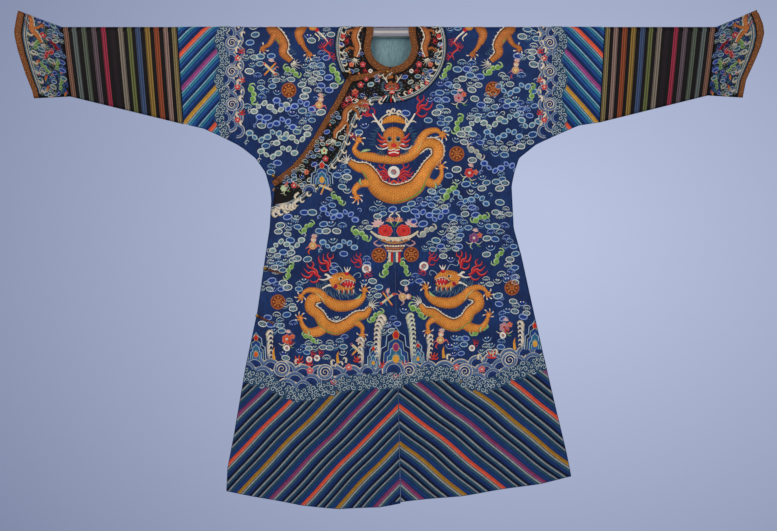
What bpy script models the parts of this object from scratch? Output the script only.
"""A Chinese dragon robe hung flat on a display rod.

Metres, +Z up. The robe faces -Y and the middle of the rod's axis is the origin. Right and left are the
wearer's, so the right half lies at -X.

Each half of the robe is one length of silk folded over the rod, seamed down the back and at the side. Its
surface is worked out in rows that run from the centre line to the outer edge, from the top of the fold
down to the hem, once in front and once behind. "Out" is the distance from the middle towards a cuff. A
wall is an open surface with Solidify. What lies on a panel is the panel's own surface, moved out by a
level and cut to its outline.
"""

import math

import bpy
import numpy as np

# Rod and cloth
ROD_RADIUS = 0.014
ROD_REACH = {"right": 0.936, "left": 0.925}
ROD_SIDES = 32
ROD_EDGE = 0.0015
ROD_SHARP_ANGLE = 50
WALL = 0.0016
TRIM = 0.0010
GAP = 0.0003
FOLD_FACETS = 3
FOLD_RADIUS = (ROD_RADIUS + GAP) / math.cos(math.radians(90 / FOLD_FACETS / 2)) + WALL

# Layers over the body's own outer surface, each the height of the outer face
ON_BODY = GAP + TRIM
OVERLAP = GAP + WALL
ON_OVERLAP = OVERLAP + GAP + TRIM

# Rows and columns of the walls
COLUMNS = 12
SLEEVE_ROWS = 5
SKIRT_ROWS = 8
EXTENSION_COLUMNS = 4
CUFF_COLUMNS = 4

SIGN = {"right": -1, "left": 1}
TOWARDS = {"front": -1, "back": 1}

# The centre seam leans to the wearer's left as it falls: height, X
CENTRE_LINE = ((0.000, 0.000), (-0.642, 0.011), (-0.988, 0.020), (-1.355, 0.028))
SLIT_TOP = -0.900
SLIT_WIDTH_AT_HEM = 0.003

# Outer edge of each half, from the top of the sleeve seam down to the hem: out, height
HALF_EDGE = {
    "right": ((0.608, FOLD_RADIUS), (0.591, -0.261), (0.542, -0.270), (0.486, -0.295), (0.429, -0.324),
              (0.386, -0.358), (0.358, -0.398), (0.344, -0.449), (0.341, -0.477), (0.346, -0.557),
              (0.358, -0.636), (0.381, -0.795), (0.415, -0.954), (0.449, -1.153), (0.466, -1.240),
              (0.469, -1.306)),
    "left": ((0.608, FOLD_RADIUS), (0.594, -0.256), (0.537, -0.264), (0.486, -0.286), (0.415, -0.318),
             (0.365, -0.358), (0.352, -0.398), (0.344, -0.437), (0.346, -0.477), (0.350, -0.557),
             (0.372, -0.636), (0.398, -0.755), (0.434, -0.914), (0.471, -1.073), (0.500, -1.193),
             (0.514, -1.264)),
}
FOOT_ROW = 1
WAIST_ROW = 8

# Hem: fraction of the way from the centre to the side, height
HEM = {
    "right": ((0.00, -1.338), (0.12, -1.349), (0.35, -1.355), (0.58, -1.343), (0.80, -1.323),
              (1.00, -1.306)),
    "left": ((0.00, -1.334), (0.11, -1.329), (0.35, -1.318), (0.58, -1.300), (0.81, -1.284),
             (1.00, -1.264)),
}

# Seam between the dark sleeve extension and the cuff: top and foot, each out and height
CUFF_SEAM = {
    "right": ((0.937, FOLD_RADIUS), (0.914, -0.182)),
    "left": ((0.926, FOLD_RADIUS), (0.903, -0.179)),
}
# Mouth of the horseshoe cuff from the tip down to the low corner: out, height
MOUTH = {
    "right": ((1.062, 0.062), (1.072, 0.006), (1.071, -0.011), (1.062, -0.051), (1.039, -0.122),
              (1.022, -0.165), (1.017, -0.187)),
    "left": ((1.042, 0.064), (1.059, 0.023), (1.062, -0.003), (1.054, -0.037), (1.039, -0.074),
             (1.011, -0.136), (1.002, -0.185)),
}
CUFF_FOLD_AT_MOUTH = 0.009
CUFF_EDGING_START = 0.86

# Half the robe's thickness away from its sewn edges, by height: height, outer face from the middle plane
FULLNESS = ((0.000, FOLD_RADIUS), (-0.300, FOLD_RADIUS), (-0.700, 0.019), (-1.330, 0.025))
SEAM_HALF = WALL + GAP / 2
SEAM_RUN = 0.170

# Where the left front rises to the overlap's level: how far out, and how far below the rod
CENTRE_LIFT_RUN = 0.200
CENTRE_LIFT_DROP = 0.100

# Soft upright folds of the skirt: number across a half, where the first starts, share of the depth. The
# starts of a face's two halves give the same depth at the centre seam.
FOLDS = {
    ("right", "front"): (2.4, 0.10, 1.0),
    ("left", "front"): (2.2, 0.40, 1.0),
    ("right", "back"): (1.8, 0.30, 0.8),
    ("left", "back"): (2.0, 0.20, 0.8),
}
FOLD_DEPTH_AT_HEM = 0.007
FOLDS_START = -0.450
FOLDS_FULL = -1.350

# Neck hole, its edging and the round facing, in the front view
NECK_HALF_WIDTH_AT_FOLD = 0.050
NECK_RADIUS = 0.058
NECK_CENTRE = -0.041
NECK_BEHIND_FOLD = 0.003
NECK_EDGING_WIDTH = 0.020
NECK_EDGING_FOOT_BEHIND = 0.003
FACING_RADIUS = 0.160
FACING_HALF_WIDTH_AT_FOLD = 0.147
FACING_CENTRE_BEHIND = 0.091

# Overlap: its upper edge from the throat to under the arm, and the facing's lower edge: X, height
OVERLAP_EDGE = ((0.010, -0.102), (-0.004, -0.105), (-0.060, -0.115), (-0.113, -0.124), (-0.122, -0.129),
                (-0.133, -0.147), (-0.157, -0.195), (-0.187, -0.243), (-0.217, -0.295), (-0.248, -0.341),
                (-0.279, -0.377), (-0.312, -0.404), (-0.340, -0.425), (-0.375, -0.451))
OVERLAP_EDGING_WIDTH = 0.017
OVERLAP_FACING_EDGE = ((-0.380, -0.522), (-0.338, -0.514), (-0.261, -0.486), (-0.216, -0.446),
                       (-0.173, -0.398), (-0.136, -0.352), (-0.111, -0.290), (-0.088, -0.239),
                       (-0.054, -0.203), (-0.020, -0.201), (0.010, -0.201))
UNDERLAP_LAST_ROW = 0.8

# Lining that shows through the neck: half width, top, foot
LINING = {"half_width": 0.095, "top": -0.008, "foot": -0.150}

# Ball buttons: out, height, seat over the body, loop's seat, strap's direction in degrees, strap length
BUTTONS = {
    "throat": (0.009, -0.1135, ON_OVERLAP, ON_OVERLAP, 190, 0.026),
    "corner": (0.116, -0.1165, ON_BODY, ON_OVERLAP, 262, 0.026),
    "underarm": (0.334, -0.4085, 0.0, ON_OVERLAP, 322, 0.030),
    "side_upper": (0.3585, -0.672, OVERLAP, OVERLAP, 343, 0.050),
    "side_lower": (0.3800, -0.8066, OVERLAP, OVERLAP, 335, 0.054),
}
BALL_RADIUS = 0.0055
BALL_RINGS = 7
BALL_SIDES = 12
STALK_RADIUS = 0.0015
SEAT_GAP = 0.0005
CORD_RADIUS = 0.0013
CORD_LEG_SPACING = 0.0031
LEG_SHARES = (1.0, 0.66, 0.33)
EYE_MOUTH_ANGLE = 12

# Degrees between the points of a drawn circle, and of a loop's eye
OUTLINE_STEP = 9
EYE_STEP = 34

# Cutters reach past the cloth: in front or behind, above, beside and below
CUTTER_DEPTH = 0.060
CUTTER_TOP = 0.040
CUTTER_SIDE = -0.750
CUTTER_FOOT = -1.000
WELD_DISTANCE = 0.00001

# Colour, roughness, metallic
FINISHES = {
    "silk_blue": ((0.020, 0.045, 0.180), 0.55, 0.0),
    "silk_blue_under": ((0.018, 0.040, 0.150), 0.60, 0.0),
    "banded_brown": ((0.030, 0.022, 0.020), 0.60, 0.0),
    "black_satin": ((0.012, 0.010, 0.010), 0.50, 0.0),
    "brocade_brown": ((0.220, 0.070, 0.020), 0.55, 0.0),
    "lining_teal": ((0.140, 0.330, 0.380), 0.50, 0.0),
    "gilt_brass": ((0.600, 0.400, 0.140), 0.35, 1.0),
    "cord_brown": ((0.120, 0.050, 0.025), 0.70, 0.0),
    "rod_aluminium": ((0.780, 0.790, 0.800), 0.35, 1.0),
}


def clear_scene():
    for old in list(bpy.data.objects):
        bpy.data.objects.remove(old, do_unlink=True)


def new_collection(name):
    collection = bpy.data.collections.new(name)
    bpy.context.scene.collection.children.link(collection)
    return collection


def finish(name):
    if name in bpy.data.materials:
        return bpy.data.materials[name]
    colour, roughness, metallic = FINISHES[name]
    material = bpy.data.materials.new(name)
    material.use_nodes = True
    shader = material.node_tree.nodes["Principled BSDF"]
    shader.inputs["Base Color"].default_value = (*colour, 1.0)
    shader.inputs["Roughness"].default_value = roughness
    shader.inputs["Metallic"].default_value = metallic
    material.diffuse_color = (*colour, 1.0)
    return material


def read_table(rows, key, key_column=0):
    """Value of the other column where the key column, which falls down the rows, equals key."""
    table = np.array(rows)
    return np.interp(-np.asarray(key), -table[:, key_column], table[:, 1 - key_column])


def mix(first, second, share):
    return first + (second - first) * share


def ease(share):
    """Smooth step from 0 to 1."""
    share = np.clip(share, 0, 1)
    return share * share * (3 - 2 * share)


def centre_out(side, height):
    """Where a half's centre edge lies: on the centre line, less half the seam gap or slit."""
    opening = mix(GAP, SLIT_WIDTH_AT_HEM, np.clip((height - SLIT_TOP) / (FOLDS_FULL - SLIT_TOP), 0, 1))
    return SIGN[side] * read_table(CENTRE_LINE, height) + opening / 2


def edge_out(side, height):
    return read_table(HALF_EDGE[side], height, key_column=1) - GAP / 2


def seam_distance(side, out, height):
    """Distance, in the flat layout, to the sewn edge: sleeve foot, underarm curve and side."""
    line = np.array((MOUTH[side][-1], CUFF_SEAM[side][1], *HALF_EDGE[side][FOOT_ROW:]))
    run = np.diff(line, axis=0)
    offset = np.stack(np.broadcast_arrays(out, height), axis=-1)[..., None, :] - line[:-1]
    along = np.clip((offset * run).sum(axis=-1) / (run * run).sum(axis=-1), 0, 1)
    return np.linalg.norm(offset - along[..., None] * run, axis=-1).min(axis=-1)


def rise_from_seam(side, out, height):
    """0 at a sewn edge, 1 from SEAM_RUN inwards, along a parabola."""
    return 1 - (1 - np.clip(seam_distance(side, out, height) / SEAM_RUN, 0, 1)) ** 2


def skirt_folds(side, face, out, height):
    """Upright folds that start below the waist, deepen to the hem and fan out with the half's width."""
    count, start, share = FOLDS[side, face]
    inner = centre_out(side, height)
    across = (out - inner) / (edge_out(side, height) - inner)
    depth = FOLD_DEPTH_AT_HEM * share * ease((height - FOLDS_START) / (FOLDS_FULL - FOLDS_START))
    return depth * np.sin(2 * math.pi * (count * across + start))


def centre_lift(side, face, out, height):
    """The left front rises to the overlap's level where the two are seamed down the centre."""
    if (side, face) != ("left", "front"):
        return 0.0
    return OVERLAP * (1 - ease(out / CENTRE_LIFT_RUN)) * ease(-height / CENTRE_LIFT_DROP)


def depth_of(side, face, out, height):
    """Outer surface's distance from the robe's middle plane, below the fold."""
    full = read_table(FULLNESS, height) + skirt_folds(side, face, out, height)
    rise = rise_from_seam(side, out, height)
    return SEAM_HALF + rise * (full - SEAM_HALF) + centre_lift(side, face, out, height)


def place(side, face, out, depth, height):
    """World points from out, depth towards the face, and height."""
    parts = np.broadcast_arrays(SIGN[side] * out, TOWARDS[face] * depth, height)
    return np.stack(parts, axis=-1)


def surface(side, face, out, height, level=0.0):
    return place(side, face, out, depth_of(side, face, out, height) + level, height)


def fold_rows(side, face, out, radius, middle, level):
    """Rows over the rod from the top of the fold to its side, about a middle height."""
    turns = np.linspace(0, math.pi / 2, FOLD_FACETS + 1)[:-1]
    return [place(side, face, out, (radius + level) * math.sin(turn),
                  middle + (radius + level) * math.cos(turn)) for turn in turns]


def half_rows(side, face, level=0.0):
    """A half's rows from the top of the fold to the hem, each from the centre line to the edge."""
    across = np.linspace(0, 1, COLUMNS + 1)
    edge = HALF_EDGE[side]
    foot = edge[FOOT_ROW][1]
    at_fold = mix(centre_out(side, 0.0), edge_out(side, FOLD_RADIUS), across)
    rows = fold_rows(side, face, at_fold, FOLD_RADIUS, 0.0, level)
    sleeve = [foot * step / SLEEVE_ROWS for step in range(SLEEVE_ROWS)]
    underarm = [height for _, height in edge[FOOT_ROW:WAIST_ROW + 1]]
    heights = [np.full_like(across, height) for height in sleeve + underarm]
    hem = np.interp(across, *np.array(HEM[side]).T)
    waist = edge[WAIST_ROW][1]
    heights += [mix(waist, hem, step / SKIRT_ROWS) for step in range(1, SKIRT_ROWS + 1)]
    for height in heights:
        out = mix(centre_out(side, height), edge_out(side, height), across)
        rows.append(surface(side, face, out, height, level))
    return rows


def extension_rows(side, face):
    """The dark lower sleeve's rows, each from the body's seam to the cuff's seam."""
    along = np.linspace(0, 1, EXTENSION_COLUMNS + 1)
    (body_top, _), (body_foot, body_low) = HALF_EDGE[side][:2]
    (cuff_top, _), (cuff_foot, cuff_low) = CUFF_SEAM[side]
    inner, outer = body_top + GAP / 2, cuff_top - GAP / 2
    rows = fold_rows(side, face, mix(inner, outer, along), FOLD_RADIUS, 0.0, 0.0)
    for down in np.linspace(0, 1, SLEEVE_ROWS + 1):
        body_out = read_table(HALF_EDGE[side], down * body_low, key_column=1) + GAP / 2
        cuff_out = read_table(CUFF_SEAM[side], down * cuff_low, key_column=1) - GAP / 2
        height = mix(down * body_low, down * cuff_low, along)
        rows.append(surface(side, face, mix(body_out, cuff_out, along), height))
    return rows


def cuff_rows(side, face, level=0.0, start=0.0, columns=CUFF_COLUMNS):
    """The horseshoe cuff's rows, from its seam, or from a share of the way out, to its mouth."""
    along = np.linspace(start, 1, columns + 1)
    (seam_top, _), (_, seam_low) = CUFF_SEAM[side]
    (tip_out, tip_height), (_, mouth_low) = MOUTH[side][0], MOUTH[side][-1]
    radius = mix(FOLD_RADIUS, CUFF_FOLD_AT_MOUTH, along)
    middle = mix(0.0, tip_height - CUFF_FOLD_AT_MOUTH, along)
    rows = fold_rows(side, face, mix(seam_top + GAP / 2, tip_out, along), radius, middle, level)
    for down in np.linspace(0, 1, SLEEVE_ROWS + 1):
        seam_height = down * seam_low
        mouth_height = mix(tip_height - CUFF_FOLD_AT_MOUTH, mouth_low, down)
        seam_out = read_table(CUFF_SEAM[side], seam_height, key_column=1) + GAP / 2
        mouth_out = read_table(MOUTH[side], mouth_height, key_column=1)
        out = mix(seam_out, mouth_out, along)
        height = mix(seam_height, mouth_height, along)
        depth = SEAM_HALF + rise_from_seam(side, out, height) * (radius - SEAM_HALF) + level
        rows.append(place(side, face, out, depth, height))
    return rows


def over_the_fold(rows_of, *arguments, **options):
    """Front rows from the hem up to the fold, then the back rows from the fold down."""
    side = arguments[0]
    front = rows_of(side, "front", *arguments[1:], **options)
    back = rows_of(side, "back", *arguments[1:], **options)
    return front[::-1] + back[1:]


def add_piece(name, mesh, material, collection):
    piece = bpy.data.objects.new(name, mesh)
    piece.data.materials.clear()
    piece.data.materials.append(finish(material))
    collection.objects.link(piece)
    return piece


def wall(name, rows, thickness, material, collection):
    """Open surface through the rows, thickened inwards. Faces in front look to -Y, behind to +Y."""
    grid = np.array(rows)
    count, width = grid.shape[:2]
    index = np.arange(count * width).reshape(count, width)
    quads = np.stack((index[:-1, :-1], index[:-1, 1:], index[1:, 1:], index[1:, :-1]), axis=-1).reshape(-1, 4)
    points = grid.reshape(-1, 3)
    corners = points[quads]
    normals = np.cross(corners[:, 2] - corners[:, 0], corners[:, 3] - corners[:, 1])
    if (normals[:, 1] * np.sign(corners[:, :, 1].mean(axis=1))).sum() < 0:
        quads = quads[:, ::-1]
    mesh = bpy.data.meshes.new(name)
    mesh.from_pydata(points.tolist(), [], quads.tolist())
    mesh.shade_smooth()
    piece = add_piece(name, mesh, material, collection)
    solid = piece.modifiers.new("wall", "SOLIDIFY")
    solid.thickness = thickness
    solid.offset = -1
    return piece


def curve_object(name, collection, points, cyclic):
    curve = bpy.data.curves.new(name, "CURVE")
    spline = curve.splines.new("POLY")
    spline.points.add(len(points) - 1)
    for spot, (x, y, z) in zip(spline.points, points):
        spot.co = (x, y, z, 1.0)
    spline.use_cyclic_u = cyclic
    shape = bpy.data.objects.new(name, curve)
    collection.objects.link(shape)
    return shape


def prism(name, outline, near, far):
    """Cutter: an outline of X and height, run along Y from near to far."""
    shape = curve_object(name, CUTTERS, [(x, height, 0.0) for x, height in outline], True)
    shape.data.dimensions = "2D"
    shape.data.fill_mode = "BOTH"
    shape.data.extrude = (far - near) / 2
    shape.rotation_euler = (math.pi / 2, 0, 0)
    shape.location = (0, (near + far) / 2, 0)
    bpy.context.view_layer.update()
    seen = shape.evaluated_get(bpy.context.evaluated_depsgraph_get())
    mesh = bpy.data.meshes.new_from_object(seen)
    mesh.transform(shape.matrix_world)
    bpy.data.objects.remove(shape, do_unlink=True)
    cutter = bpy.data.objects.new(name, mesh)
    CUTTERS.objects.link(cutter)
    weld = cutter.modifiers.new("weld", "WELD")
    weld.merge_threshold = WELD_DISTANCE
    cutter.hide_render = True
    cutter.display_type = "WIRE"
    return cutter


def boolean(piece, cutter, operation):
    step = piece.modifiers.new(cutter.name, "BOOLEAN")
    step.object = cutter
    step.operation = operation
    step.solver = "EXACT"


def joined(front_prism, back_prism):
    boolean(front_prism, back_prism, "UNION")
    return front_prism


def arc(centre, radius, first, last, step=OUTLINE_STEP):
    """Points on a circle of X and height, between two angles in degrees, about a step apart."""
    angles = np.radians(np.linspace(first, last, round((last - first) / step) + 1))
    return [(centre[0] + radius * math.cos(a), centre[1] + radius * math.sin(a)) for a in angles]


def shifted(line, distance):
    """The line moved to its left by a distance, each point along its neighbours' normal."""
    points = np.array(line)
    run = np.gradient(points, axis=0)
    run /= np.linalg.norm(run, axis=1, keepdims=True)
    return [tuple(point) for point in points + distance * np.stack((-run[:, 1], run[:, 0]), axis=-1)]


def neck_outline(grow):
    """The neck hole in front, widened by grow: a half circle with sides that close a little upwards."""
    half = NECK_HALF_WIDTH_AT_FOLD + grow
    bowl = arc((0.0, NECK_CENTRE), NECK_RADIUS + grow, 180, 360)
    return [(-half, CUTTER_TOP), (-half, 0.0), *bowl, (half, 0.0), (half, CUTTER_TOP)]


def neck_band_cutter(name, grow):
    """The edging's whole area: the widened neck in front and a shallow band behind the fold."""
    half = NECK_HALF_WIDTH_AT_FOLD + grow
    foot = NECK_EDGING_FOOT_BEHIND + NECK_EDGING_WIDTH - grow
    behind = [(-half, CUTTER_TOP), (-half, foot), (half, foot), (half, CUTTER_TOP)]
    return joined(prism(name, neck_outline(grow), -CUTTER_DEPTH, GAP),
                  prism(name + "_behind", behind, -GAP, CUTTER_DEPTH))


def collar_cutter():
    """The round facing's area, a circle in the flat cloth that goes over the fold."""
    half = FACING_HALF_WIDTH_AT_FOLD
    start = math.degrees(math.asin(-NECK_CENTRE / FACING_RADIUS))
    front = arc((0.0, NECK_CENTRE), FACING_RADIUS, 180 - start, 360 + start)
    lean = math.degrees(math.asin(FACING_CENTRE_BEHIND / FACING_RADIUS))
    back = arc((0.0, FACING_CENTRE_BEHIND), FACING_RADIUS, 180 + lean, 360 - lean)
    return joined(
        prism("collar", [(-half, CUTTER_TOP), *front, (half, CUTTER_TOP)], -CUTTER_DEPTH, GAP),
        prism("collar_behind", [(-half, CUTTER_TOP), *back, (half, CUTTER_TOP)], -GAP, CUTTER_DEPTH))


def overlap_cutters():
    """What lies above the overlap's edge, what lies below it, its edging's band and its facing."""
    edge = list(OVERLAP_EDGE)
    end_x, end_height = edge[-1]
    above = [*edge, (CUTTER_SIDE, end_height), (CUTTER_SIDE, CUTTER_TOP), (edge[0][0], CUTTER_TOP)]
    under = [*shifted(edge, -GAP), (end_x, CUTTER_FOOT), (edge[0][0], CUTTER_FOOT)]
    band = [*edge, *shifted(edge, OVERLAP_EDGING_WIDTH)[::-1]]
    facing = [*shifted(edge, OVERLAP_EDGING_WIDTH + GAP), *OVERLAP_FACING_EDGE]
    return {name: prism("area_" + name + "_overlap", outline, -CUTTER_DEPTH, 0.0)
            for name, outline in (("above", above), ("under", under), ("band", band), ("facing", facing))}


def make_rod(parts):
    length = ROD_REACH["right"] + ROD_REACH["left"]
    middle = (ROD_REACH["left"] - ROD_REACH["right"]) / 2
    bpy.ops.mesh.primitive_cylinder_add(vertices=ROD_SIDES, radius=ROD_RADIUS, depth=length,
                                        location=(middle, 0, 0), rotation=(0, math.pi / 2, 0))
    rod = bpy.context.object
    rod.name = "hanging_rod"
    for collection in list(rod.users_collection):
        collection.objects.unlink(rod)
    parts.objects.link(rod)
    rod.data.materials.append(finish("rod_aluminium"))
    rod.data.shade_smooth()
    rod.data.set_sharp_from_angle(angle=math.radians(ROD_SHARP_ANGLE))
    bevel = rod.modifiers.new("eased ends", "BEVEL")
    bevel.width = ROD_EDGE
    bevel.segments = 1
    bevel.limit_method = "ANGLE"
    bevel.angle_limit = math.radians(ROD_SHARP_ANGLE)


def make_body(parts):
    hole = prism("neck_hole", neck_outline(0.0), -CUTTER_DEPTH, NECK_BEHIND_FOLD)
    for side, colour in (("right", "silk_blue_under"), ("left", "silk_blue")):
        front, back = half_rows(side, "front"), half_rows(side, "back")
        if side == "right":
            front[-1] = mix(front[-2], front[-1], UNDERLAP_LAST_ROW)
        body = wall("body_" + side, front[::-1] + back[1:], WALL, colour, parts)
        boolean(body, hole, "DIFFERENCE")
    return hole


def make_overlap(parts, areas):
    """The outer right front and what is sewn along its curved edge."""
    rows = half_rows("right", "front", OVERLAP)[FOLD_FACETS + 1:]
    overlap = wall("overlap", rows, WALL, "silk_blue", parts)
    boolean(overlap, areas["above"], "DIFFERENCE")
    upper = half_rows("right", "front", ON_OVERLAP)[FOLD_FACETS + 1:-SKIRT_ROWS + 1]
    edging = wall("overlap_edging", upper, TRIM, "brocade_brown", parts)
    boolean(edging, areas["band"], "INTERSECT")
    facing = wall("overlap_facing", upper, TRIM, "black_satin", parts)
    boolean(facing, areas["facing"], "INTERSECT")


def make_collar(parts, hole, areas):
    """Round facing and brocade edging on each half, over the fold, clear of the overlap."""
    collar = collar_cutter()
    band = neck_band_cutter("neck_band", NECK_EDGING_WIDTH)
    clearance = neck_band_cutter("neck_clearance", NECK_EDGING_WIDTH + GAP)
    for side in SIGN:
        rows = half_rows(side, "front", ON_BODY)[:-SKIRT_ROWS]
        rows = rows[::-1] + half_rows(side, "back", ON_BODY)[1:-SKIRT_ROWS]
        facing = wall("collar_facing_" + side, rows, TRIM, "black_satin", parts)
        boolean(facing, collar, "INTERSECT")
        boolean(facing, clearance, "DIFFERENCE")
        edging = wall("neck_edging_" + side, rows, TRIM, "brocade_brown", parts)
        boolean(edging, band, "INTERSECT")
        boolean(edging, hole, "DIFFERENCE")
        if side == "right":
            boolean(facing, areas["under"], "DIFFERENCE")
            boolean(edging, areas["under"], "DIFFERENCE")


def make_lining(parts):
    """A plain sheet inside the back, as wide as the neck shows."""
    heights = (LINING["top"], LINING["foot"])
    out = np.array((-LINING["half_width"], 0.0, LINING["half_width"]))
    depth = FOLD_RADIUS - WALL - GAP
    wall("neck_lining", [place("left", "back", out, depth, height) for height in heights], TRIM,
         "lining_teal", parts)


def make_sleeves(parts):
    for side in SIGN:
        wall("sleeve_extension_" + side, over_the_fold(extension_rows, side), WALL, "banded_brown", parts)
        wall("cuff_" + side, over_the_fold(cuff_rows, side), WALL, "black_satin", parts)
        edging = over_the_fold(cuff_rows, side, level=ON_BODY, start=CUFF_EDGING_START, columns=1)
        wall("cuff_edging_" + side, edging, TRIM, "brocade_brown", parts)


def make_button(name, x, depth, height, rise, parts):
    """Ball on a stalk, turned about an axis that points to the front. Rise is the ball's clearance."""
    centre = rise + math.sqrt(BALL_RADIUS ** 2 - STALK_RADIUS ** 2)
    low = math.asin(STALK_RADIUS / BALL_RADIUS)
    angles = np.linspace(0, math.pi - low, BALL_RINGS)
    ball = [(BALL_RADIUS * math.sin(a), centre + BALL_RADIUS * math.cos(a)) for a in angles]
    profile = [*ball, (STALK_RADIUS, 0.0), (0.0, 0.0)]
    mesh = bpy.data.meshes.new(name)
    mesh.from_pydata([(r, 0.0, h) for r, h in profile], [(i, i + 1) for i in range(len(profile) - 1)], [])
    button = add_piece(name, mesh, "gilt_brass", parts)
    turn = button.modifiers.new("turn", "SCREW")
    turn.steps = turn.render_steps = BALL_SIDES
    turn.use_merge_vertices = True
    turn.merge_threshold = WELD_DISTANCE
    turn.use_smooth_shade = True
    button.location = (x, -depth, height)
    button.rotation_euler = (math.pi / 2, 0, 0)


def make_loop(name, out, height, seat, strap_angle, strap_length, parts):
    """A cord sewn down in two legs, with an eye round the stalk. It follows the overlap's surface."""
    eye = STALK_RADIUS + GAP + CORD_RADIUS
    opening = math.degrees(math.asin(CORD_LEG_SPACING / 2 / eye))
    leg = CORD_LEG_SPACING / 2
    mouth = EYE_MOUTH_ANGLE + opening
    eye_points = arc((0.0, 0.0), eye, mouth, 360 - mouth, EYE_STEP)
    legs = [(strap_length * share, leg) for share in LEG_SHARES]
    path = [*legs, *eye_points, *[(along, -across) for along, across in legs[::-1]]]
    angle = math.radians(strap_angle)
    points = []
    for along, across in path:
        x = -out + along * math.cos(angle) - across * math.sin(angle)
        z = height + along * math.sin(angle) + across * math.cos(angle)
        level = seat + GAP + CORD_RADIUS
        points.append(surface("right", "front", -x, z, level))
    loop = curve_object(name, parts, points, False)
    loop.data.dimensions = "3D"
    loop.data.bevel_depth = CORD_RADIUS
    loop.data.bevel_resolution = 1
    loop.data.use_fill_caps = True
    loop.data.materials.append(finish("cord_brown"))


def make_fastenings(parts):
    for name, (out, height, seat, loop_seat, strap_angle, strap_length) in BUTTONS.items():
        depth = float(depth_of("right", "front", out, height)) + seat + SEAT_GAP
        rise = loop_seat - seat + 2 * CORD_RADIUS + GAP
        make_button("button_" + name, -out, depth, height, rise, parts)
        make_loop("loop_" + name, out, height, loop_seat, strap_angle, strap_length, parts)


clear_scene()
PARTS = new_collection("chinese_dragon_robe")
CUTTERS = new_collection("cutters")
make_rod(PARTS)
neck_hole = make_body(PARTS)
overlap_areas = overlap_cutters()
make_overlap(PARTS, overlap_areas)
make_collar(PARTS, neck_hole, overlap_areas)
make_lining(PARTS)
make_sleeves(PARTS)
make_fastenings(PARTS)
